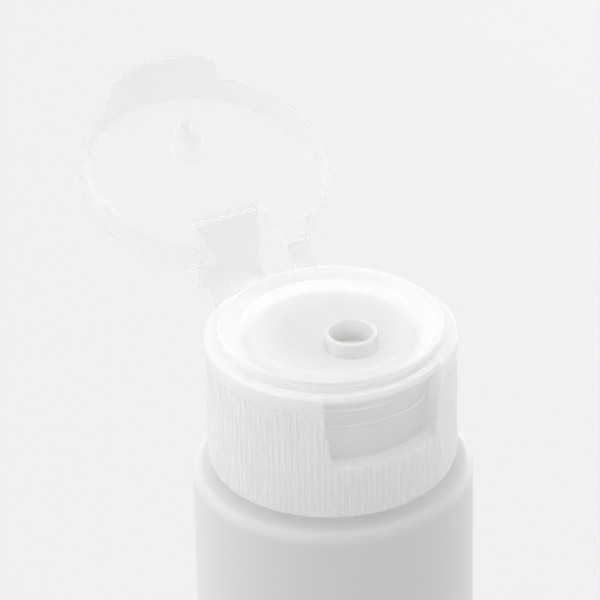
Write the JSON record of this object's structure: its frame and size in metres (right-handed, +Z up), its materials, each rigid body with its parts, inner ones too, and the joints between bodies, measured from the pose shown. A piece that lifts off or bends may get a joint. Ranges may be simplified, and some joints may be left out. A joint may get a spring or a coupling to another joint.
{
  "type": "skin lotion bottle",
  "caption": "Round straight-sided lotion bottle with a ribbed screw cap and a flip lid on a folding moulded hinge, shown open.",
  "frame": {"origin": "centre of the round foot, on the surface that the bottle stands on", "axes": "+Z up along the bottle's axis, -Y towards the front with the thumb recess, +Y towards the hinge, +X to the right as seen from the front"},
  "size_m": [0.0494, 0.0946, 0.177],
  "materials": {
    "bottle_plastic": "milky polyethylene with a soft satin skin",
    "cap_plastic": "uncoloured polypropylene, slightly cloudy, smooth satin",
    "seal_foam": "soft white foamed plastic, dull"
  },
  "bodies": {
    "bottle": {"bottle": "bottle_plastic"},
    "seal": {"neck_seal": "seal_foam"},
    "cap": {"cap_base": "cap_plastic"},
    "lid": {"lid": "cap_plastic"},
    "straps": {"hinge_strap_left": "cap_plastic", "hinge_strap_right": "cap_plastic"},
    "panel_lower": {"hinge_panel_lower": "cap_plastic"},
    "panel_upper": {"hinge_panel_upper": "cap_plastic"}
  },
  "joints": [
    {"name": "cap_rise", "type": "slide", "parent": "bottle", "child": "seal", "axis": [0, 0, 1], "range_m": [0, 0.0064]},
    {"name": "cap_turn", "type": "hinge", "parent": "seal", "child": "cap", "pos_m": [0, 0, 0.14], "axis": [0, 0, 1], "range_deg": [0, 540]},
    {"name": "lid_hinge", "type": "hinge", "parent": "cap", "child": "lid", "pos_m": [0, 0.02434, 0.15608], "axis": [1, 0, 0], "range_deg": [0, 162.7]},
    {"name": "strap_hinge", "type": "hinge", "parent": "cap", "child": "straps", "pos_m": [0, 0.0199, 0.146], "axis": [1, 0, 0], "range_deg": [0, 47.54]},
    {"name": "panel_foot_hinge", "type": "hinge", "parent": "cap", "child": "panel_lower", "pos_m": [0, 0.0212, 0.1411], "axis": [1, 0, 0], "range_deg": [0, 79.49]},
    {"name": "panel_knee_hinge", "type": "hinge", "parent": "panel_lower", "child": "panel_upper", "pos_m": [0, 0.0387, 0.14435], "axis": [1, 0, 0], "range_deg": [0, 13.94]}
  ],
  "couplings": [
    {"joint": "cap_rise", "follows": "cap_turn", "m_per_rad": 0.00066845},
    {"joint": "strap_hinge", "follows": "lid_hinge", "ratio": 0.29221},
    {"joint": "panel_foot_hinge", "follows": "lid_hinge", "ratio": 0.48857},
    {"joint": "panel_knee_hinge", "follows": "lid_hinge", "ratio": 0.085672}
  ]
}
